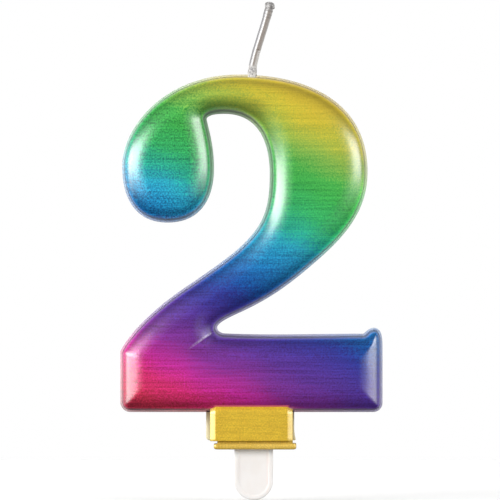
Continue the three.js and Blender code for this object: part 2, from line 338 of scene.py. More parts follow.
def fold(x, z):
    """How deep the crease at the root of the diagonal is at a point."""
    dx, dz = x - ROOT[0], z - ROOT[1]
    run = dx * ROOT_RUN[0] + dz * ROOT_RUN[1]
    side = dx * ROOT_RUN[1] - dz * ROOT_RUN[0]
    if run < 0 or run > ROOT_LENGTH:
        return 0
    fade = (1 - run / ROOT_LENGTH) * smoothstep(0.8, 2.8, run)
    soft = math.exp(-abs(side) / 0.7) if side > 0 else math.exp(-(side / 0.35) ** 2)
    return ROOT_DEPTH * fade * soft


def fold_points():
    """Close rows of points along the crease."""
    return [
        (
            ROOT[0] + run * ROOT_RUN[0] + side * ROOT_RUN[1],
            ROOT[1] + run * ROOT_RUN[1] - side * ROOT_RUN[0],
        )
        for run in np.arange(1.9, ROOT_LENGTH, 0.3)
        for side in (-0.7, -0.45, -0.25, -0.1, 0.05, 0.25, 0.5, 0.8, 1.15)
    ]


def ripple(x, z, layers):
    """Smooth noise over the numeral's plane, as layers of frequency, place in the noise and height."""
    return sum(noise.noise(Vector((x * often, z * often, slice_y))) * high for often, slice_y, high in layers)


def front_height(x, z):
    """The film's front surface, with its folds softened as vacuum forming leaves them."""
    depth = distance(wall_tree, x, z) - DRAFT
    radius = min(KERNEL_RADIUS, 0.45 * max(depth, 0))
    heights = [pillow(distance(wall_tree, x + radius * a, z + radius * b) - DRAFT) for a, b in KERNEL]
    ease = float(smoothstep(0.4, 2.5, depth))
    wave = ripple(x, z, [(0.13, 3.1, 0.05), (0.4, 8.2, 0.012)])
    return WALL_TOP_Y - sum(heights) / len(heights) - wave * ease + fold(x, z)


FRONT_ROWS = (0.03, 0.09, 0.18, 0.3, 0.46, 0.66, 0.9, 1.18, 1.5, 1.85, 2.25, 2.7, 3.2)
WALL_SECTIONS = [                # how far in from the outline, and the place along Y, from front to back
    (0.215, -1.0), (0.17, 0.2), (0.125, 1.5), (0.08, 2.8), (0.04, 3.8), (0.01, 4.35),
    (-0.02, 4.53), (-0.09, 4.65), (-0.2, 4.7), (-FLANGE, BACK_Y - FILM),
]


def rainbow_film():
    """The film over the numeral: front, walls and the rim round the back."""
    depths = [DRAFT + depth for depth in FRONT_ROWS]
    top_ring = wall_ring + wall_inward * DRAFT
    extra = fill_points(
        wall_ring, wall_tree, depths, spacing=0.24, grid=0.42, edge=DRAFT + 0.5, more=fold_points(),
    )
    flat, faces = triangulate(top_ring, extra)
    points = [(x, front_height(x, z), z) for x, z in flat]
    count = len(wall_ring)
    for i in range(count):
        points[i] = (points[i][0], WALL_TOP_Y, points[i][2])

    rows = [list(range(count))]
    for inset, y in WALL_SECTIONS:
        ring = wall_ring + wall_inward * inset
        rows.append(list(range(len(points), len(points) + count)))
        points += [(x, y, z) for x, z in ring]
    block_span = (BLOCK_LEFT + FILM - TOUCHING, BLOCK_RIGHT - FILM - TOUCHING)
    open_span = [abs(z - FOOT_Z) < TOUCHING and block_span[0] <= x < block_span[1] for x, z in wall_ring]
    for upper, lower in zip(rows, rows[1:]):
        for i in range(count):
            if not open_span[i]:
                j = (i + 1) % count
                faces.append((upper[i], lower[i], lower[j], upper[j]))
    film = mesh_object("rainbow_film_shell", points, faces)
    thicken(film)
    planar_uv(film, lambda p: p.z / 100, lambda p: p.x / 100 + 0.5)
    tilt = film.data.attributes.new("tilt", "FLOAT", "POINT")
    tilt.data.foreach_set("value", [1 - abs(v.normal.y) for v in film.data.vertices])
    return film


# ---- the gold film ----

def film_top(x, y):
    """The height at which a wall of the block meets the rainbow film."""
    lean = DRAFT * (BACK_Y - max(y, WALL_TOP_Y)) / (BACK_Y - WALL_TOP_Y)
    reach = next(d for d in np.arange(0, 2, 0.01) if pillow(d) >= WALL_TOP_Y - y)
    overlap = 0.06
    return FOOT_Z + lean + reach + overlap


def rounded_path(corners, radius, steps=4):
    """A path through corners, each rounded off."""
    path = [np.array(corners[0], float)]
    for before, corner, after in zip(corners, corners[1:], corners[2:]):
        before, corner, after = (np.array(p, float) for p in (before, corner, after))
        a = (before - corner) / np.linalg.norm(before - corner)
        b = (after - corner) / np.linalg.norm(after - corner)
        for t in np.linspace(0, 1, steps + 1):
            path.append(corner + a * radius * (1 - t) ** 2 + b * radius * t ** 2)
    path.append(np.array(corners[-1], float))
    return path


def subdivided(path, longest):
    """The same path with its long stretches cut up."""
    cut = []
    for a, b in zip(path, path[1:]):
        steps = max(1, math.ceil(np.linalg.norm(b - a) / longest))
        cut += [a + (b - a) * k / steps for k in range(steps)]
    return cut + [path[-1]]


LOWER_EDGE = [                   # the gold film's turned-in lower edge: how high, and how far out
    (0, -0.14), (0.05, -0.05), (0.13, 0), (0.5, 0), (2, 0), (4, 0), (6, 0),
]


def gold_rim(edge, reach, radius, flare):
    """One side of the block's rim: a strip with a round lower corner, flared out at its foot."""
    side = math.copysign(1, reach)
    inner = edge - side * 0.25
    outer = edge + reach
    corner = outer + side * (flare - radius)
    top = FOOT_Z + 0.1
    outline = [
        (inner, BLOCK_BOTTOM), (corner, BLOCK_BOTTOM),
        *[(corner + side * radius * math.sin(a), BLOCK_BOTTOM + radius - radius * math.cos(a))
          for a in np.linspace(0.3, math.pi / 2, 6)],
        (outer + side * flare * 0.35, BLOCK_BOTTOM + 1.2), (outer, BLOCK_BOTTOM + 2.6),
        (outer, top), (inner, top),
    ]
    return plate(outline, BACK_Y - FILM, BACK_Y, round_by=0.06)


def gold_film():
    """The film over the block: two walls, two chamfers and the front, and the rim at the back."""
    corners = [
        (BLOCK_LEFT - 0.05, BACK_Y - FILM), (BLOCK_LEFT, BACK_Y - FILM - 0.4),
        (BLOCK_LEFT, BLOCK_FRONT_Y + BLOCK_CHAMFER_DEPTH), (BLOCK_LEFT + BLOCK_CHAMFER, BLOCK_FRONT_Y),
        (BLOCK_RIGHT - BLOCK_CHAMFER, BLOCK_FRONT_Y), (BLOCK_RIGHT, BLOCK_FRONT_Y + BLOCK_CHAMFER_DEPTH),
        (BLOCK_RIGHT, BACK_Y - FILM - 0.4), (BLOCK_RIGHT + 0.05, BACK_Y - FILM),
    ]
    path = subdivided(rounded_path(corners, radius=0.16), longest=0.5)
    ahead = [path[min(i + 1, len(path) - 1)] - path[max(i - 1, 0)] for i in range(len(path))]
    outward = [np.array([a[1], -a[0]]) / np.linalg.norm(a) for a in ahead]
    points, faces = [], []
    for point, out in zip(path, outward):
        top = film_top(*point)
        for rise, grow in LOWER_EDGE:
            x, y = point + out * grow
            points.append((x, y, BLOCK_BOTTOM + rise))
        points.append((*point, top))
    rows = len(LOWER_EDGE) + 1
    for i in range(len(path) - 1):
        for k in range(rows - 1):
            a, b = i * rows + k, (i + 1) * rows + k
            faces.append((a, b, b + 1, a + 1))
    film = mesh_object("gold_film_shell", points, faces)
    thicken(film)
    return joined(film, [
        gold_rim(BLOCK_LEFT, -BLOCK_FLANGE_LEFT, radius=0.75, flare=0),
        gold_rim(BLOCK_RIGHT, BLOCK_FLANGE_RIGHT, radius=0.3, flare=0.35),
    ])


def plate(outline, front, back, round_by):
    """A flat plate from an outline in X and Z, with softened edges."""
    ring = np.array(outline, float)
    area = sum(a[0] * b[1] - b[0] * a[1] for a, b in zip(ring, np.roll(ring, -1, 0)))
    if area < 0:
        ring = ring[::-1]
    normals = inward(ring)
    levels = [(round_by, front), (0, front + round_by), (0, back - round_by), (round_by, back)]
    points = [(x, y, z) for inset, y in levels for x, z in ring + normals * inset]
    return mesh_object("plate", points, tube(len(levels), len(ring), reverse=True))


def joined(piece, others):
    """One object from several meshes."""
    points = [tuple(v.co / MM) for v in piece.data.vertices]
    faces = [tuple(p.vertices) for p in piece.data.polygons]
    for other in others:
        start = len(points)
        points += [tuple(v.co / MM) for v in other.data.vertices]
        faces += [tuple(start + i for i in p.vertices) for p in other.data.polygons]
        bpy.data.objects.remove(other)
    name = piece.name
    bpy.data.objects.remove(piece)
    return mesh_object(name, points, faces)


# ---- the wax ----

WAX_INSET = FILM - 0.02          # the wax touches the film, a little way into its thickness
WAX_ROWS = (0.1, 0.22, 0.4, 0.65, 1.0, 1.45, 2.0)


def wax_outline():
    """The outline of numeral and block together, inside the films."""
    ring = []
    for (x, z), (nx, nz) in zip(wall_ring, wall_inward):
        underside = abs(z - FOOT_Z) < TOUCHING
        if underside and abs(x - BLOCK_LEFT - FILM) < TOUCHING:
            low, high = BLOCK_BOTTOM + 0.1, z + WAX_INSET
            a, b = BLOCK_LEFT + WAX_INSET, BLOCK_RIGHT - WAX_INSET
            ring += [(a, high - t * (high - low)) for t in np.linspace(0, 1, 18)]
            ring += [(a + t * (b - a), low) for t in np.linspace(0, 1, 44)[1:-1]]
            ring += [(b, low + t * (high - low)) for t in np.linspace(0, 1, 18)]
        elif not underside or not BLOCK_LEFT + FILM < x < BLOCK_RIGHT - FILM + TOUCHING:
            ring.append((x + nx * WAX_INSET, z + nz * WAX_INSET))
    return np.array(ring)


def wax_pour():
    """The wax of numeral and block in one pour. Its back has set a little hollow."""
    ring = wax_outline()
    fine = []
    for a, b in zip(ring, np.roll(ring, -1, 0)):
        fine += [a + (b - a) * k / 6 for k in range(6)]
    tree = tree_of(fine)
    extra = fill_points(ring, tree, WAX_ROWS, spacing=0.42, grid=0.8, edge=0.6)
    flat, faces = triangulate(ring, extra)
    count = len(ring)
    points = []
    for x, z in flat:
        depth = distance(tree, x, z)
        creep = 0.2 * math.exp(-depth / 0.45)
        wave = ripple(x, z, [(0.16, 1.7, 0.09), (0.7, 5.5, 0.015)]) * float(smoothstep(0, 2, depth))
        sink = 0.16 * float(smoothstep(0.2, 5, depth))
        points.append((x, BACK_Y - 0.22 + creep - sink - wave, z))
    faces = [tuple(reversed(face)) for face in faces]
    total = len(points)
    front = []
    for x, z in flat:
        in_block = z < FOOT_Z + 0.6
        reach = WALL_TOP_Y + 0.6 - 0.9 * pillow(distance(wall_tree, x, z) - DRAFT - 2 * FILM)
        front.append((x, BLOCK_FRONT_Y + 1.4 if in_block else reach, z))
    faces += [tuple(total + i for i in reversed(face)) for face in faces]
    points += front
    for i in range(count):
        j = (i + 1) % count
        faces.append((total + i, i, j, total + j))
    return mesh_object("wax_pour", points, faces)


# ---- the base cap ----

CAP_LEVELS = [                   # height, how far the sides come in, how far the front comes in
    (0.0, 0.7, 0.5), (0.05, 0.45, 0.3), (0.16, 0.26, 0.14), (0.32, 0.16, 0.05), (0.5, 0.14, 0),
    (0.98, 0.14, 0), (1.08, 0.17, 0.04), (1.15, 0.24, 0.12), (1.18, 0.4, 0.3), (1.2, 0.7, 0.7),
    (1.22, 0.9, 1.1), (2.1, 0.9, 1.1),
]


def base_cap():
    """The plate under the block: a rounded lip, and a narrower top that reaches up into the block."""
    middle = np.array([(CAP_LEFT + CAP_RIGHT) / 2, (CAP_FRONT_Y + BACK_Y) / 2])
    half = np.array([(CAP_RIGHT - CAP_LEFT) / 2, (BACK_Y - CAP_FRONT_Y) / 2])
    corners = [(0, -half[1]), (half[0], -half[1]), half, (-half[0], half[1]), -half, (0, -half[1])]
    ring = np.array(subdivided(rounded_path(corners, radius=0.7, steps=6), longest=0.6)[:-1])
    points = []
    for z, side, front in CAP_LEVELS:
        for x, y in middle + ring * (half - (side, front)) / half:
            flare = 0.12 * float(smoothstep(7.6, 9.5, x)) if z > 0.9 else 0
            dent = 0.04 * noise.noise(Vector((x * 0.5, y * 0.5, z))) if 0.1 < z < 1.4 else 0
            points.append((x, y, z + flare + dent))
    return mesh_object("base_cap_plate", points, tube(len(CAP_LEVELS), len(ring)))


# ---- the pick ----

PICK_EDGE = [                    # how far in from the outline, how far short of the full thickness
    (0.16, 0), (0.06, 0.04), (0.01, 0.13), (0, 0.25),
]
PICK_FIELD = [(0.85, 0), (0.93, 0.03), (1.02, 0.1), (1.15, 0.12)]


def pick():
    """The strip that goes into the cake: moulded, with a round end and a shallow field inside its border."""
    half = PICK_WIDTH / 2
    centre = PICK_BOTTOM + half
    outline = [(-half, PICK_TOP)]
    outline += [(-half, z) for z in np.linspace(PICK_TOP, centre, 60)[1:-1]]
    outline += [(half * -math.cos(a), centre - half * math.sin(a)) for a in np.linspace(0, math.pi, 48)]
    outline += [(half, z) for z in np.linspace(centre, PICK_TOP, 60)[1:]]
    outline += [(x, PICK_TOP) for x in np.linspace(half, -half, 18)[1:-1]]
    ring = np.array(outline)
    normals = inward(ring)
    back = [(inset, PICK_THICKNESS / 2 - short) for inset, short in PICK_EDGE[::-1] + PICK_FIELD]
    levels = [(inset, -y) for inset, y in reversed(back)] + back
    points = [(x, y, z) for inset, y in levels for x, z in ring + normals * inset]
    return mesh_object("pick_strip", points, tube(len(levels), len(ring), reverse=True))


# ---- the wick ----

CENTRELINE = np.array([          # X and Z
    (-0.34, 80.6), (-0.32, 82.2), (-0.2, 84.2), (0.17, 85.9), (0.62, 87.6),
    (1.45, 90.3), (2.5, 93.7), (3.24, 96.3), (3.74, 98.35),
])
WICK_RINGS = 260
WICK_SIDES = 40
WICK_SPLIT_Z = 85.7              # where the lower piece ends and the upper one begins
TIP_START = WICK_RINGS - 11      # the ring at which the tip begins to close
TIP_REACH = 10.3                 # the rings that it takes to close


def centreline():
    """A smooth line of even points along the wick's middle, as an array of X and Z."""
    before = 2 * CENTRELINE[0] - CENTRELINE[1]
    after = 2 * CENTRELINE[-1] - CENTRELINE[-2]
    control = np.array([before, *CENTRELINE, after])
    path = []
    for a, b, c, d in zip(control, control[1:], control[2:], control[3:]):
        for t in np.linspace(0, 1, 40, endpoint=False):
            bend = (2 * a - 5 * b + 4 * c - d) * t * t + (3 * b - a - 3 * c + d) * t ** 3
            path.append(0.5 * (2 * b + (c - a) * t + bend))
    return evenly(np.array(path + [control[-2]]), lambda length: WICK_RINGS)


def bump_at(value, middle, width):
    """1 at the middle, falling off smoothly on both sides."""
    return math.exp(-((value - middle) / width) ** 2)


def wick_radius(z, angle):
    """The wick's radius: a creased silver coat, a notch at the kink, wax at the foot and a lumpy bead."""
    aside, ahead = math.cos(angle), math.sin(angle)

    def lumps(round_often, along_often, start=0):
        return noise.noise(Vector((aside * round_often, ahead * round_often, z * along_often + start)))

    radius = WICK_RADIUS + 0.035 + 0.03 * math.cos(2 * (angle - 0.5)) + 0.02 * lumps(1.5, 0.7)
    foot = float(smoothstep(84.6, 82.4, z))
    radius += foot * (0.1 + 0.1 * lumps(2.2, 1.9))
    turn = math.atan2(math.sin(angle - 0.35), math.cos(angle - 0.35))
    radius -= 0.3 * bump_at(z, 87.75, 0.2) * bump_at(turn, 0, 0.42)
    radius -= 0.12 * bump_at(z, 87.3, 0.25) * bump_at(turn, 0.8, 0.4)
    radius += 0.06 * float(smoothstep(94.6, 95.8, z)) - 0.1 * bump_at(z, 96.95, 0.16)
    tip = float(smoothstep(96.75, 97.25, z))
    return radius + tip * (0.15 + 0.34 * lumps(1.6, 1.3, 4) + 0.16 * lumps(3.4, 3.1))


def wick_pieces():
    """The wick above the wax: a piece up to the middle of its lower stretch, and one on to the tip."""
    line = centreline()
    along = np.gradient(line, axis=0)
    along /= np.linalg.norm(along, axis=1)[:, None]
    rings = []
    for k, ((x, z), (tx, tz)) in enumerate(zip(line, along)):
        into_tip = max(0.0, (k - TIP_START) / TIP_REACH)
        close = math.sqrt(max(0.0, 1 - into_tip ** 2))
        ring = []
        for s in range(WICK_SIDES):
            angle = 2 * math.pi * s / WICK_SIDES - math.pi
            radius = wick_radius(z, angle) * close
            across, depth = math.sin(angle) * radius, -math.cos(angle) * radius
            ring.append((x + tz * across, depth, z - tx * across))
        rings.append(ring)
    split = int(np.argmin(abs(line[:, 1] - WICK_SPLIT_Z)))
    spans = {"wick_foot_sleeve": (0, split), "wick_top_sleeve": (split, WICK_RINGS - 1)}
    made = {}
    for name, (first, last) in spans.items():
        points = [p for ring in rings[first:last + 1] for p in ring]
        piece = mesh_object(name, points, tube(last - first + 1, WICK_SIDES))
        layer = piece.data.uv_layers.new(name="UVMap")
        for polygon in piece.data.polygons:
            columns = [v % WICK_SIDES for v in polygon.vertices]
            wraps = max(columns) - min(columns) > WICK_SIDES / 2
            for loop, vertex, column in zip(polygon.loop_indices, polygon.vertices, columns):
                column += WICK_SIDES if wraps and column < WICK_SIDES / 2 else 0
                layer.data[loop].uv = (column / WICK_SIDES, (first + vertex // WICK_SIDES) / WICK_RINGS)
        made[name] = piece
    return made


# ---- materials ----

def srgb(*levels):
    """A colour from 0-255 levels as a screen shows them, as Blender's linear values."""
    return tuple(c / 255 / 12.92 if c <= 10.31 else ((c / 255 + 0.055) / 1.055) ** 2.4 for c in levels) + (1,)


class Nodes:
    """Short calls for building a node tree. Any value may also be another node's output."""

    def __init__(self, tree):
        self.nodes = tree.nodes
        self.links = tree.links

    def add(self, kind, inputs, **settings):
        """A new node, with its inputs by number or by name."""
        made = self.nodes.new(kind)
        for key, value in settings.items():
            setattr(made, key, value)
        for key, value in inputs.items() if isinstance(inputs, dict) else enumerate(inputs):
            if isinstance(value, bpy.types.NodeSocket):
                self.links.new(value, made.inputs[key])
            else:
                made.inputs[key].default_value = value
        return made

    def math(self, operation, *inputs):
        return self.add("ShaderNodeMath", inputs, operation=operation).outputs[0]

    def times(self, first, *others):
        """The product of all the values."""
        for other in others:
            first = self.math("MULTIPLY", first, other)
        return first

    def plus(self, first, *others):
        """The sum of all the values."""
        for other in others:
            first = self.math("ADD", first, other)
        return first

    def range(self, value, low, high, to_low=0.0, to_high=1.0, smooth=True):
        """value taken from one range to another, and kept within it."""
        kind = "SMOOTHSTEP" if smooth else "LINEAR"
        inputs = (value, low, high, to_low, to_high)
        return self.add("ShaderNodeMapRange", inputs, interpolation_type=kind).outputs[0]

    def band(self, value, start, low, high, end):
        """1 between low and high, fading to 0 at start and at end."""
        return self.times(self.range(value, start, low), self.range(value, end, high))

    def swing(self, noise, size):
        """Noise of 0 to 1 as a value that swings about 0, over a range of the given size."""
        return self.times(self.math("SUBTRACT", noise, 0.5), size)

    def vector(self, operation, *inputs):
        """A vector calculation's outputs: the vector, and the number."""
        return self.add("ShaderNodeVectorMath", inputs, operation=operation).outputs

    def noise(self, place, scale, detail=2.0, rough=0.5):
        """Noise of 0 to 1, with scale cells to the millimetre along each axis."""
        stretched = self.add("ShaderNodeMapping", {"Vector": place, "Scale": scale}).outputs[0]
        inputs = {"Vector": stretched, "Scale": 1.0, "Detail": detail, "Roughness": rough}
        return self.add("ShaderNodeTexNoise", inputs).outputs[0]

    def mix(self, share, a, b):
        """Colour a, with a share of colour b in it."""
        return self.add("ShaderNodeMix", {0: share, 6: a, 7: b}, data_type="RGBA").outputs[2]

    def brighten(self, colour, value):
        """A colour with its brightness multiplied."""
        return self.add("ShaderNodeHueSaturation", {"Color": colour, "Value": value}).outputs[0]

    def ramp(self, value, stops):
        made = self.add("ShaderNodeValToRGB", (value,))
        elements = made.color_ramp.elements
        while len(elements) < len(stops):
            elements.new(0.5)
        for element, (position, colour) in zip(elements, stops):
            element.position = position
            element.color = colour
        return made.outputs[0]

    def split(self, vector):
        """The X, Y and Z of a vector."""
        return self.add("ShaderNodeSeparateXYZ", (vector,)).outputs

    def bump(self, height, depth, strength, *under):
        """A normal bent by a height, in millimetres, on top of another bump's normal or the smooth one."""
        inputs = {"Height": height, "Distance": depth * MM, "Strength": strength}
        if under:
            inputs["Normal"] = under[0]
        return self.add("ShaderNodeBump", inputs).outputs[0]


class Surface(Nodes):
    """One material's nodes."""

    def __init__(self, name):
        self.material = bpy.data.materials.new(name)
        self.material.use_nodes = True
        super().__init__(self.material.node_tree)
        self.shader = self.nodes["Principled BSDF"]

    def millimetres(self):
        """The place on the object, in millimetres."""
        place = self.add("ShaderNodeTexCoord", ()).outputs["Object"]
        return self.vector("DIVIDE", place, (MM, MM, MM))[0]

    def set(self, **inputs):
        """Sets or links the shader's inputs, named with _ for a space."""
        for key, value in inputs.items():
            socket = self.shader.inputs[key.replace("_", " ")]
            if isinstance(value, bpy.types.NodeSocket):
                self.links.new(value, socket)
            else:
                socket.default_value = value


# Cells to the millimetre along X, Y and Z: lines brushed across the film, and a grain in its metal.
BRUSHED_LINES = (0.045, 0.3, 2.1)
BRUSHED_STREAKS = (0.1, 0.3, 4.0)
METAL_GRAIN = (2.8, 2.8, 2.8)

# The print's colours, by height plus a share of the distance to the right, in millimetres.
RAINBOW_SLANT = 0.5
RAINBOW = [
    (-6, srgb(166, 34, 60)), (0, srgb(218, 43, 82)), (5, srgb(231, 35, 118)), (10, srgb(212, 32, 162)),
    (15, srgb(144, 45, 160)), (21, srgb(101, 50, 163)), (27, srgb(70, 54, 167)), (31, srgb(44, 58, 165)),
    (35, srgb(2, 88, 178)), (41, srgb(2, 122, 194)), (46, srgb(18, 160, 210)), (49, srgb(30, 176, 202)),
    (52, srgb(33, 184, 157)), (57, srgb(48, 184, 104)), (63, srgb(60, 184, 80)), (67, srgb(74, 190, 78)),
    (71, srgb(136, 198, 80)), (75, srgb(180, 202, 70)), (79, srgb(224, 208, 54)), (82, srgb(228, 200, 50)),
    (88, srgb(212, 184, 50)),
]
RIM_START, RIM_END = 4.1, 4.68   # along Y, where the rim begins and where it is all rim
DULL_SPOT = (-9.9, -4.0, 27.0)   # beside the crease, where the coat is thin


def rainbow_place(t, x, z, place, lines, grain):
    """Where each place lies on the rainbow: it drifts, and smears along the brushed lines."""
    drift = t.noise(place, (0.08, 0.08, 0.08), 2.0, 0.5)
    along = t.plus(z, t.times(x, RAINBOW_SLANT))
    along = t.plus(along, t.swing(drift, 5.0), t.swing(lines, 3.0), t.swing(grain, 7.0))
    lime = t.times(t.band(z, 65.0, 70.0, 73.0, 77.0), t.range(x, 12.0, 20.0))
    return t.math("SUBTRACT", along, t.times(lime, 2.2))


def print_and_painted_light(t, x, z, tilt):
    """The print's brightness by place, most of it painted light and shade in place of what the metal mirrors:
    painted shade where the front slopes away, a painted highlight on the steeper bevels and at the bowl's
    lower right, and darker over and under the arch. It stays with the object from every side."""
    # Painted shade where the front slopes away, a painted highlight on the steeper part of the bevels, and
    # more painted shade on the walls.
    painted_slope_shade = t.range(tilt, 0.01, 0.2, 1.0, 0.64)
    slope = t.range(tilt, 0.18, 0.42, 1.0, 1.9)
    wall = t.range(tilt, 0.6, 0.95, 1.0, 0.66)
    arch = t.times(t.range(z, 71.0, 78.0), t.range(x, 9.0, -1.0))
    under_arch = t.times(t.band(z, 71.0, 74.0, 75.0, 78.2), t.band(x, -13.0, -9.0, 0.0, 5.0))
    # A painted highlight at the bowl's lower right edge, and a little on the flat beside it.
    bowl = t.times(t.band(z, 41.0, 47.0, 56.0, 62.0), t.range(x, 6.0, 12.0))
    bowl = t.times(bowl, t.range(tilt, 0.03, 0.25, 0.16, 1.0))
    return t.times(
        painted_slope_shade, slope, wall, t.math("SUBTRACT", 1.0, t.times(arch, 0.05)),
        t.math("SUBTRACT", 0.77, t.times(under_arch, 0.24)), t.plus(1.0, t.times(bowl, 0.85)),
    )


def painted_crease_highlight(t, place, grain):
    """The share of a painted highlight, pale as bare metal, along the crease where the diagonal leaves the
    foot.
    """
    away = t.vector("SUBTRACT", place, (ROOT[0], 0, ROOT[1]))[0]
    run = t.vector("DOT_PRODUCT", away, (ROOT_RUN[0], 0, ROOT_RUN[1]))[1]
    side = t.vector("DOT_PRODUCT", away, (ROOT_RUN[1], 0, -ROOT_RUN[0]))[1]
    line = t.times(t.band(side, -0.25, 0.0, 0.05, 0.55), t.band(run, 0.8, 1.6, 4.0, 8.0))
    return t.times(line, t.range(grain, 0.25, 0.65, 0.12, 0.3))


def film_material():
    """Printed, brushed film with a pearly coat. Its rim at the back is dull, milky and half as printed."""
    t = Surface("printed_rainbow_film")
    place = t.millimetres()
    x, y, z = t.split(place)
    lines = t.noise(place, BRUSHED_LINES, 2.0, 0.6)
    streaks = t.noise(place, BRUSHED_STREAKS, 1.0, 0.5)
    grain = t.noise(place, METAL_GRAIN, 1.0, 0.6)
    tilt = t.add("ShaderNodeAttribute", (), attribute_name="tilt").outputs["Fac"]

    along = rainbow_place(t, x, z, place, lines, grain)
    low, high = RAINBOW[0][0], RAINBOW[-1][0]
    share = t.range(along, float(low), float(high), smooth=False)
    colour = t.ramp(share, [((at - low) / (high - low), c) for at, c in RAINBOW])

    ball = t.times(t.range(x, -9.0, -12.0), t.range(z, 46.0, 52.0))
    marks = t.plus(t.swing(lines, 0.6), t.swing(streaks, 0.8), t.swing(grain, t.plus(1.3, ball)))
    fainter_above = t.range(along, 58.0, 72.0, 1.0, 0.45)
    brushed = t.plus(1.0, t.times(marks, fainter_above))
    colour = t.brighten(colour, t.times(print_and_painted_light(t, x, z, tilt), brushed))

    # Pale film near the front edge of the walls, partly wear and partly a painted highlight on the steep
    # edge, and the painted highlight along the crease.
    wear_and_painted_highlight = t.times(t.range(tilt, 0.3, 0.6, 0.0, 0.2), t.range(y, -1.5, -2.3, 0.1, 1.0))
    wear_and_painted_highlight = t.math("MAXIMUM", wear_and_painted_highlight, painted_crease_highlight(t, place, grain))
    colour = t.mix(wear_and_painted_highlight, colour, srgb(232, 222, 240))
    above_block = t.times(t.range(z, 9.85, 9.6), t.band(x, -9.0, -8.4, 7.4, 8.0))
    colour = t.mix(t.times(above_block, 0.65), colour, srgb(255, 120, 130))
    rim = t.range(y, RIM_START, RIM_END)
    colour = t.mix(rim, colour, t.mix(0.5, srgb(218, 218, 219), colour))

    rough = t.plus(0.34, t.swing(lines, 0.2), t.swing(streaks, 0.2))
    from_spot = t.vector("DISTANCE", place, DULL_SPOT)[1]
    coat = t.times(t.range(rim, 0.0, 1.0, 1.0, 0.1), t.range(from_spot, 1.0, 3.2, 0.1, 1.0))
    normal = t.bump(t.plus(t.times(lines, 0.6), t.times(streaks, 0.4)), 0.012, 0.5)
    normal = t.bump(grain, 0.014, 0.5, normal)
    tangent = t.add("ShaderNodeTangent", (), direction_type="UV_MAP", uv_map="UVMap").outputs[0]
    t.set(
        Base_Color=colour, Metallic=t.range(rim, 0.0, 0.7, 0.06, 0.0),
        Roughness=t.math("MAXIMUM", rough, t.times(rim, 0.7)),
        Anisotropic=0.6, Specular_IOR_Level=0.2, Coat_Weight=coat, Coat_Roughness=0.27, Coat_IOR=1.8,
        Subsurface_Weight=t.times(rim, 0.9), Subsurface_Scale=1.0 * MM, Subsurface_Radius=(1.0, 1.0, 1.0),
        Normal=normal, Coat_Normal=normal, Tangent=tangent,
    )
    return t.material


def gold_material(name, front, deep):
    """Gold metallised film with a fine satin grain, and a painted highlight, pale, along the block's front
    chamfers.
    """
    t = Surface(name)
    place = t.millimetres()
    x, y, z = t.split(place)
    grain = t.noise(place, METAL_GRAIN, 1.0, 0.6)
    cloud = t.noise(place, (0.35, 0.35, 0.5), 2.0, 0.5)
    lines = t.noise(place, (0.12, 0.4, 3.2), 2.0, 0.5)
    colour = t.mix(t.range(cloud, 0.3, 0.7), deep, front)
    colour = t.brighten(colour, t.plus(1.0, t.swing(grain, 0.8), t.swing(lines, 0.4)))
    # A painted highlight along the block's front chamfers.
    from_middle = t.math("ABSOLUTE", t.plus(x, -(BLOCK_LEFT + BLOCK_RIGHT) / 2))
    edge = t.times(t.range(from_middle, 7.9, 8.6), t.range(z, 1.5, 1.8), t.range(y, -1.8, -2.4))
    colour = t.mix(t.times(edge, 0.17), colour, srgb(255, 244, 190))
    rim = t.range(y, 4.1, 4.6)
    colour = t.mix(rim, colour, srgb(236, 228, 190))
    normal = t.bump(grain, 0.012, 0.4)
    t.set(
        Base_Color=colour, Metallic=t.range(rim, 0.0, 0.7, 0.15, 0.0),
        Roughness=t.plus(0.4, t.swing(grain, 0.2)), Coat_Weight=1.0, Coat_Roughness=0.25,
        Normal=normal, Coat_Normal=normal,
    )
    return t.material


def wax_material():
    """White paraffin: soft and slightly clouded, with fine pits."""
    t = Surface("clouded_wax")
    place = t.millimetres()
    cloud = t.noise(place, (0.18, 0.18, 0.18), 3.0, 0.55)
    fine = t.noise(place, (1.6, 1.6, 1.6), 4.0, 0.6)
    pits = t.noise(place, (2.6, 2.6, 2.6), 2.0, 0.5)
    colour = t.mix(t.range(cloud, 0.3, 0.7), srgb(238, 233, 222), srgb(245, 241, 232))
    colour = t.mix(t.times(t.range(fine, 0.5, 0.75), 0.2), colour, srgb(214, 206, 190))
    t.set(
        Base_Color=colour, Roughness=t.range(fine, 0.3, 0.7, 0.38, 0.55), Subsurface_Weight=0.35,
        Subsurface_Radius=(1.0, 0.8, 0.6), Subsurface_Scale=1.2 * MM, Coat_Weight=0.15, Coat_Roughness=0.35,
        Normal=t.bump(t.range(pits, 0.62, 0.78), -0.05, 0.6, t.bump(fine, 0.06, 0.5)),
    )
    return t.material


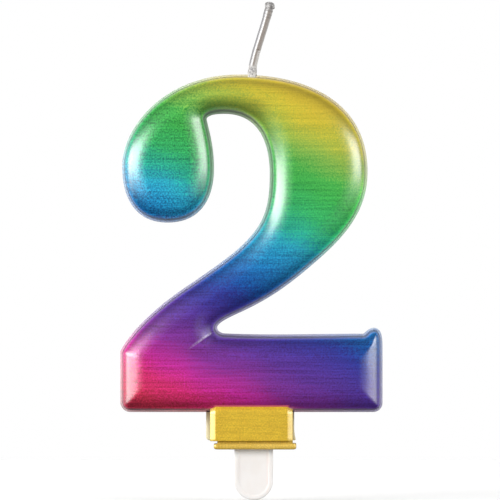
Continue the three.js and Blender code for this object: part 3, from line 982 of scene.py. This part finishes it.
def pick_material():
    """Milky moulded plastic, whitened near its top by painted light that fills the cap's shadow."""
    t = Surface("milky_plastic")
    place = t.millimetres()
    x, _, z = t.split(place)
    cloud = t.noise(place, (0.3, 0.3, 0.25), 2.0, 0.5)
    fine = t.noise(place, (2.5, 2.5, 2.5), 3.0, 0.6)
    flow = t.noise(place, (1.2, 1.2, 0.12), 2.0, 0.5)
    colour = t.mix(t.range(cloud, 0.3, 0.7), srgb(233, 229, 226), srgb(237, 234, 232))
    # Painted light near the top, where the cap's shadow falls.
    colour = t.mix(t.range(z, -3.2, -0.3), colour, srgb(255, 253, 251))
    warm = t.band(x, 2.6, 3.0, 3.15, 3.6)
    colour = t.mix(t.times(warm, 0.3), colour, srgb(244, 226, 218))
    t.set(
        Base_Color=colour, Roughness=t.range(fine, 0.3, 0.7, 0.32, 0.46), Subsurface_Weight=0.4,
        Subsurface_Radius=(1.0, 0.95, 0.9), Subsurface_Scale=0.8 * MM, IOR=1.49,
        Normal=t.bump(fine, 0.01, 0.3, t.bump(flow, 0.03, 0.3)),
    )
    return t.material


WICK_RUN = 18.0                  # about how long the wick is along its middle, as the UV map's V runs
WICK_SKIN = 0.78                 # the radius at which the wick's noise is taken
# Painted shade in creases near the tip.
TIP_PAINTED_SHADE = ((15.95, 0.2), (15.2, 0.12), (14.5, 0.1))    # how far along, and half the width


def wick_material():
    """Cotton in a crinkled silver coat, waxy at the foot and in the bead at the tip. Painted shade darkens
    the coat's right half and left edge, leaving a painted highlight between them, and marks three creases
    near the tip.
    """
    t = Surface("silver_coat")
    u, v, _ = t.split(t.add("ShaderNodeTexCoord", ()).outputs["UV"])
    turn = t.times(u, 2 * math.pi)
    length = t.times(v, WICK_RUN)
    skin = t.add("ShaderNodeCombineXYZ", (
        t.times(t.math("SINE", turn), WICK_SKIN), t.times(t.math("COSINE", turn), WICK_SKIN), length,
    )).outputs[0]
    fine = t.noise(skin, (3.0, 3.0, 1.2), 3.0, 0.6)
    frost = t.noise(skin, (2.2, 2.2, 2.4), 3.0, 0.65)

    around_wick = t.plus(u, t.swing(frost, 0.03))
    # Painted shade on the coat's right half, lighter towards its far edge and below the kink; the pale strip
    # left of it is a painted highlight.
    painted_right_shade = t.times(t.range(around_wick, 0.452, 0.5), t.range(around_wick, 0.69, 0.58, 0.35, 1.0))
    below_kink = t.times(t.range(length, 7.3, 6.9), t.range(around_wick, 0.52, 0.6))
    painted_right_shade = t.times(painted_right_shade, t.math("SUBTRACT", 1.0, t.times(below_kink, 0.45)))
    # Painted shade along the coat's left edge.
    left = t.range(around_wick, 0.45, 0.39)
    colour = t.mix(painted_right_shade, srgb(230, 229, 228), srgb(148, 139, 132))
    colour = t.mix(t.times(left, 0.9), colour, srgb(128, 127, 131))
    colour = t.mix(t.times(t.range(fine, 0.5, 0.75), 0.3), colour, srgb(120, 112, 106))
    foot = t.range(length, 4.1, 3.2)
    wax = t.mix(t.range(frost, 0.42, 0.62), srgb(204, 202, 199), srgb(140, 138, 140))
    colour = t.mix(foot, colour, wax)
    tip = t.range(length, 15.9, 16.5)
    bead = t.mix(t.range(frost, 0.36, 0.6), srgb(198, 196, 195), srgb(124, 122, 121))
    colour = t.mix(tip, colour, bead)
    # Painted shade in three creases near the tip, breaking the painted highlight.
    for mark, width in TIP_PAINTED_SHADE:
        off = t.math("ABSOLUTE", t.math("SUBTRACT", length, mark))
        colour = t.mix(t.range(off, width, width * 0.4, 0.0, 0.75), colour, srgb(128, 124, 120))
    bare = t.math("MAXIMUM", foot, tip)
    t.set(
        Base_Color=colour, Metallic=t.range(bare, 0.0, 1.0, 0.08, 0.03),
        Roughness=t.range(bare, 0.0, 1.0, 0.42, 0.5),
        Normal=t.bump(frost, 0.06, 0.6, t.bump(fine, 0.03, 0.5)),
    )
    return t.material


def cotton_material():
    """Braided cotton, for the wick inside the wax."""
    t = Surface("braided_cotton")
    place = t.millimetres()
    inputs = {"Vector": place, "Scale": 1.1, "Distortion": 1.5}
    weave = t.add("ShaderNodeTexWave", inputs, bands_direction="DIAGONAL").outputs[1]
    fibre = t.noise(place, (4.0, 4.0, 4.0), 3.0, 0.6)
    colour = t.mix(weave, srgb(206, 196, 174), srgb(238, 232, 218))
    colour = t.mix(t.times(fibre, 0.4), colour, srgb(190, 180, 160))
    t.set(Base_Color=colour, Roughness=0.9, Normal=t.bump(weave, 0.08, 0.6))
    return t.material


# ---- the candle ----

block_gold = gold_material("gold_foil", srgb(222, 185, 46), srgb(214, 176, 43))
cap_gold = gold_material("gold_cap_foil", srgb(230, 193, 86), srgb(222, 183, 73))
finish_piece(rainbow_film(), "candle", film_material(), "rainbow_film")
finish_piece(gold_film(), "candle", block_gold, "gold_film")
finish_piece(wax_pour(), "candle", wax_material(), "wax_body")
finish_piece(base_cap(), "candle", cap_gold, "base_cap")
finish_piece(pick(), "candle", pick_material(), "cake_pick")

silver = wick_material()
for name, piece in wick_pieces().items():
    piece.data.materials.append(silver)
    if name == "wick_foot_sleeve":
        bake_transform(piece)
        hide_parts("wick_lower")
    else:
        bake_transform(piece)
        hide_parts("wick_upper")

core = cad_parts["wick_core"]
core.data.materials.clear()
core.data.materials.append(cotton_material())


# ---- floor, light and camera ----

FLOOR_Z = PICK_BOTTOM - 0.1
FLOOR_REACH = 300


def floor():
    """A plain pale floor just under the pick."""
    corners = ((-1, -1), (1, -1), (1, 1), (-1, 1))
    points = [(FLOOR_REACH * x, FLOOR_REACH * y, FLOOR_Z) for x, y in corners]
    made = mesh_object("floor", points, [(0, 1, 2, 3)], smooth=False)
    t = Surface("floor_paper")
    fine = t.noise(t.millimetres(), (0.4, 0.4, 0.4), 3.0, 0.6)
    colour = t.mix(fine, srgb(250, 250, 250), srgb(253, 253, 253))
    t.set(Base_Color=colour, Roughness=0.9, Specular_IOR_Level=0.1)
    made.data.materials.append(t.material)
    made.visible_glossy = False
    made.visible_diffuse = False


def softbox(name, place, aim, size, power, glossy=True):
    """A rectangular light of so many watts, facing a point. glossy says whether surfaces mirror it."""
    data = bpy.data.lights.new(name, "AREA")
    data.shape = "RECTANGLE"
    data.size, data.size_y = size
    data.energy = power
    lamp = bpy.data.objects.new(name, data)
    lamp.location = place
    lamp.rotation_euler = (Vector(place) - Vector(aim)).to_track_quat("Z", "Y").to_euler()
    lamp.visible_camera = False
    lamp.visible_glossy = glossy
    bpy.context.scene.collection.objects.link(lamp)


def around(degrees, reach, height):
    """A place round the candle. 0 degrees is in front, and positive is to the reader's right."""
    angle = math.radians(degrees)
    return (reach * math.sin(angle), -reach * math.cos(angle), height)


def studio():
    """Soft light. Surfaces mirror bright strips at both sides of a dark room, and two softboxes in front.
    They are lit by those, by a fill from above and one from behind, and by an even glow all round."""
    world = bpy.data.worlds.new("studio")
    bpy.context.scene.world = world
    world.use_nodes = True
    world.node_tree.nodes.clear()
    t = Nodes(world.node_tree)
    dx, dy, dz = t.split(t.add("ShaderNodeTexCoord", ()).outputs["Generated"])
    aside = t.math("ABSOLUTE", dx)
    level = t.range(t.math("ABSOLUTE", dz), 0.5, 0.1)

    flank = t.times(t.range(aside, 0.85, 0.97, 0.0, 1.5), t.range(aside, 0.999, 0.98, 0.5, 1.0))
    brighter_left = t.range(dx, 0.5, -0.5, 0.7, 2.0)
    flank = t.times(flank, level, brighter_left)
    shoulder = t.times(t.range(aside, 0.25, 0.75, 0.0, 0.9), level)
    sides = t.times(t.plus(flank, shoulder), t.range(dy, 0.1, -0.12, 0.25, 1.0))
    behind = t.range(dy, 0.7, 0.92, 0.0, 0.14)
    above = t.range(dz, 0.1, 0.7, 0.0, 0.03)
    mirrored = t.plus(sides, behind, above, 0.02)
    from_above = t.range(dz, -0.6, 0.6, 0.15, 0.32)
    from_front = t.range(dy, -0.2, -0.95, 0.0, 0.36)
    lighting = t.plus(from_above, from_front)

    rays = t.add("ShaderNodeLightPath", ()).outputs
    diffuse = rays["Is Diffuse Ray"]
    strength = t.plus(t.times(mirrored, t.math("SUBTRACT", 1.0, diffuse)), t.times(lighting, diffuse))
    light = t.add("ShaderNodeBackground", ((1, 1, 1, 1), strength)).outputs[0]
    paper = t.add("ShaderNodeBackground", ((1, 1, 1, 1), 1.0)).outputs[0]
    seen = t.add("ShaderNodeMixShader", (rays["Is Camera Ray"], light, paper)).outputs[0]
    t.add("ShaderNodeOutputWorld", (seen,))

    middle = (0, 0, 0.045)
    softbox("left", around(-60, 0.8, 0.19), middle, (0.62, 0.34), 6.7)
    softbox("right", around(61, 0.8, 0.19), middle, (0.5, 0.34), 3.5)
    softbox("top_fill", (0, 0, 0.9), (0, 0, 0), (0.9, 0.9), 2.5, glossy=False)
    softbox("back_fill", (0, 1.6, 0.4), middle, (1.4, 1.0), 23, glossy=False)


VIEW_WIDTH = 0.110               # metres, at the candle
VIEW_MIDDLE = (-0.00081, 0.0438)


def camera():
    """The view straight from the front, from far away."""
    data = bpy.data.cameras.new("camera")
    data.lens = 500
    data.sensor_width = 36
    data.clip_end = 20
    made = bpy.data.objects.new("camera", data)
    made.location = (VIEW_MIDDLE[0], -VIEW_WIDTH * data.lens / data.sensor_width, VIEW_MIDDLE[1])
    made.rotation_euler = (math.radians(90), 0, 0)
    bpy.context.scene.collection.objects.link(made)
    bpy.context.scene.camera = made


floor()
studio()
camera()
bpy.context.scene.view_settings.view_transform = "Standard"
